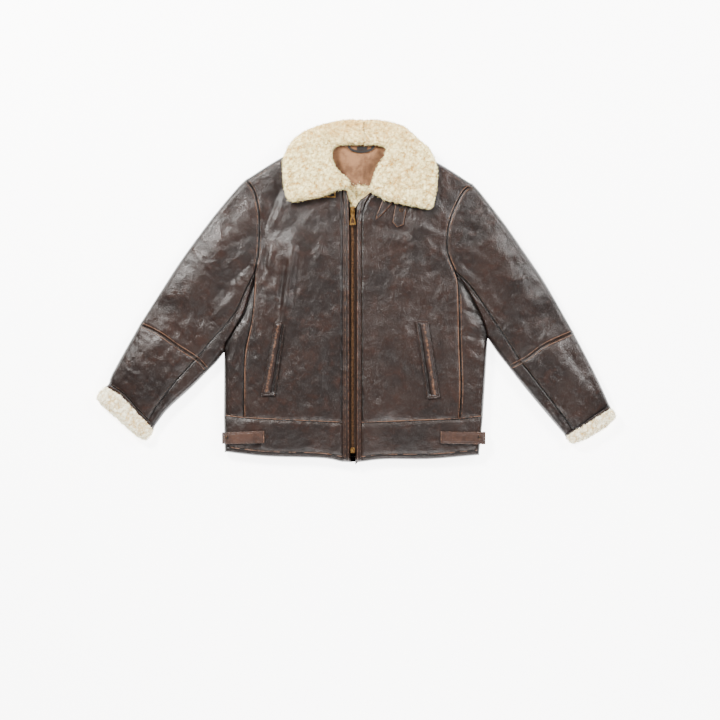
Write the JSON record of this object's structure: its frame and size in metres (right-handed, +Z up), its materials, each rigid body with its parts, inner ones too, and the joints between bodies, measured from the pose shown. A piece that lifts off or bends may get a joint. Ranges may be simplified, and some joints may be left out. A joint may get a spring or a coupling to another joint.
{
  "type": "shearling jacket",
  "caption": "Leather shearling jacket lying flat on its back, with an open wool collar, wool cuffs, slant pockets, buckle tabs at the hem and a zip whose pull swings.",
  "frame": {"origin": "bottom centre of the bounding box, on the surface that the jacket lies on", "axes": "+Z up out of the surface, +Y towards the collar, +X towards the wearer's left sleeve"},
  "size_m": [1.1474, 0.7594, 0.0554],
  "materials": {
    "leather": "dark brown waxed leather with pale rubbed edges",
    "tab_leather": "reddish brown leather",
    "wool": "cream curly wool pile",
    "facing": "brown sheared suede",
    "tape": "tan woven tape and thread",
    "trim": "near-black woven trim",
    "brass": "aged brass"
  },
  "bodies": {
    "jacket": {"back_panel": "leather", "front_right": "leather", "front_left": "leather", "side_panel_right": "leather", "side_panel_left": "leather", "placket_right": "leather", "placket_left": "leather", "hem_band_right": "leather", "hem_band_left": "leather", "hem_band_back": "leather", "hem_binding_right": "leather", "hem_binding_left": "leather", "hem_binding_back": "leather", "sleeve_top_upper_right": "leather", "sleeve_top_upper_left": "leather", "sleeve_under_upper_right": "leather", "sleeve_under_upper_left": "leather", "sleeve_top_fore_right": "leather", "sleeve_top_fore_left": "leather", "sleeve_under_fore_right": "leather", "sleeve_under_fore_left": "leather", "cuff_binding_right": "leather", "cuff_binding_left": "leather", "cuff_right": "wool", "cuff_left": "wool", "collar_right": "wool", "collar_left": "wool", "neck_facing": "facing", "neck_label": "trim", "hanger_loop": "trim", "pocket_welt_right": "leather", "pocket_welt_left": "leather", "side_tab_right": "tab_leather", "side_tab_left": "tab_leather", "throat_strap_inner": "leather", "throat_strap_outer": "leather", "throat_strap_eyelet": "brass", "throat_buckle": "brass", "throat_buckle_strap": "leather", "zip_tape_right": "tape", "zip_tape_left": "tape", "zip_teeth": "brass", "zip_slider_top": "brass", "zip_slider_bottom": "brass"},
    "pull_tab": {"zip_pull": "brass"}
  },
  "joints": [
    {"name": "pull_hinge", "type": "hinge", "parent": "jacket", "child": "pull_tab", "pos_m": [-0.0074, 0.1776, 0.03673], "axis": [-1, 0, 0], "range_deg": [0, 150]}
  ]
}
